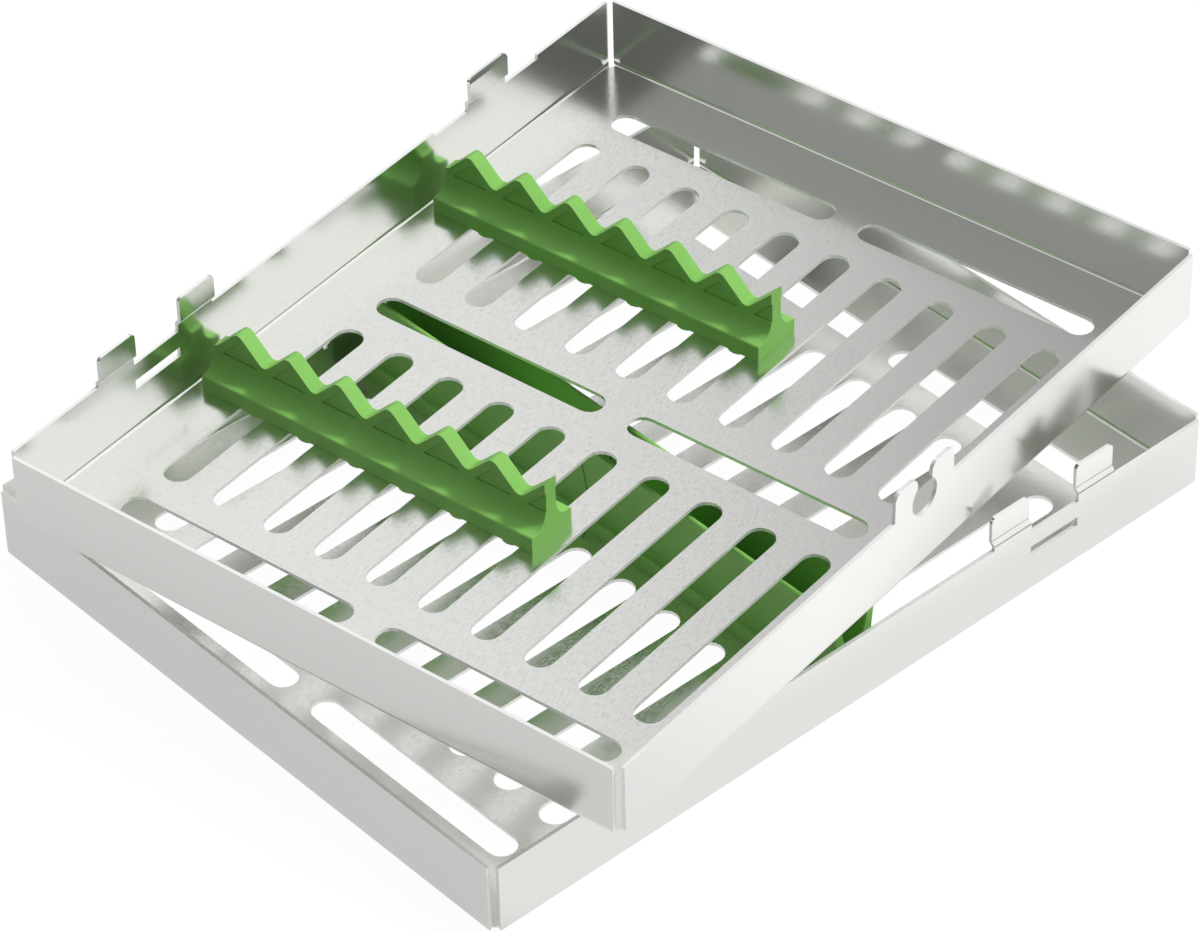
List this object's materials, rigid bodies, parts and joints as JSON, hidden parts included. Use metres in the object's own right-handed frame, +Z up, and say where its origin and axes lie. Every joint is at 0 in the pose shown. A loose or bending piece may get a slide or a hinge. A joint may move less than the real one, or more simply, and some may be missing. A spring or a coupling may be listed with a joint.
{
  "type": "locking instrument tray",
  "caption": "Two folded steel half trays with drain slots, shown open: toothed silicone racks above, hold-down bars below, hooks and tabs on one side and a turning lock on the other.",
  "frame": {"origin": "middle of the lower half's flat bottom face, on the land between its two middle slots", "axes": "+Z up out of both halves, +Y along the trays' length, +X towards the lower half's hinge side with the hook and tabs"},
  "size_m": [0.1704, 0.2014, 0.0465],
  "materials": {
    "steel_sheet": "fine brushed stainless steel sheet",
    "turned_steel": "turned stainless steel, satin",
    "green_silicone": "matt green silicone"
  },
  "bodies": {
    "base": {"lower_tray": "steel_sheet", "holddown_bar_hinge": "green_silicone", "holddown_bar_lock": "green_silicone"},
    "holder": {"upper_tray": "steel_sheet", "rack_front": "green_silicone", "rack_rear": "green_silicone"},
    "lock": {"lock_knob": "turned_steel", "lock_retainer": "turned_steel"}
  },
  "joints": [
    {"name": "holder_lift", "type": "slide", "parent": "base", "child": "holder", "axis": [0, 0, 1], "range_m": [0, 0.05]},
    {"name": "lock_turn", "type": "hinge", "parent": "base", "child": "lock", "pos_m": [-0.07085, 0, 0.0157], "axis": [1, 0, 0], "range_deg": [0, 90]}
  ]
}
